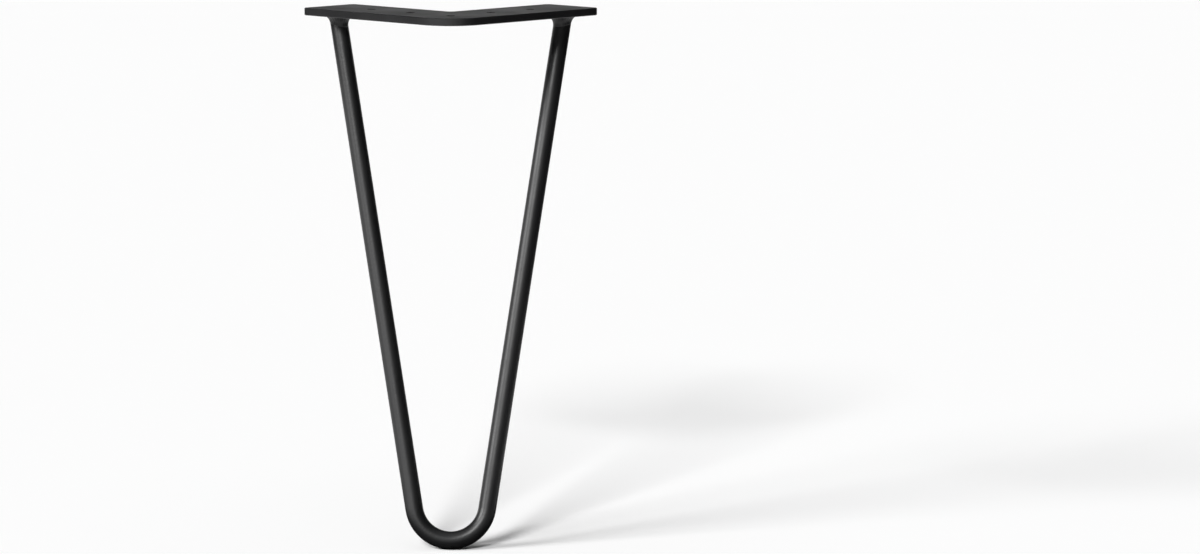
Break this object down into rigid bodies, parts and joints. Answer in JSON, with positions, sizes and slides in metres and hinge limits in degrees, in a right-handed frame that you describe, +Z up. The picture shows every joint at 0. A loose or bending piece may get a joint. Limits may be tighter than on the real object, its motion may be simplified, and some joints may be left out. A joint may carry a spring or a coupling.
{
  "type": "hairpin table leg",
  "caption": "Bent steel rod leg welded under an L-shaped screw plate, fixed to the underside of a table's corner.",
  "frame": {"origin": "centre of the corner screw hole, on the plate's top face, which meets the table", "axes": "+Z up, out of the plate's top face; +Y from the plate's outer corner towards the middle of the table; +X to the right, so the leg is alike on both sides of X = 0"},
  "size_m": [0.1988, 0.1313, 0.355],
  "materials": {
    "coated_plate": "satin black powder coat",
    "coated_rod": "satin black powder coat",
    "coated_weld": "satin black powder coat over the weld"
  },
  "bodies": {
    "root": {"mounting_plate": "coated_plate", "hairpin_rod": "coated_rod", "weld_beads": "coated_weld"}
  },
  "joints": []
}
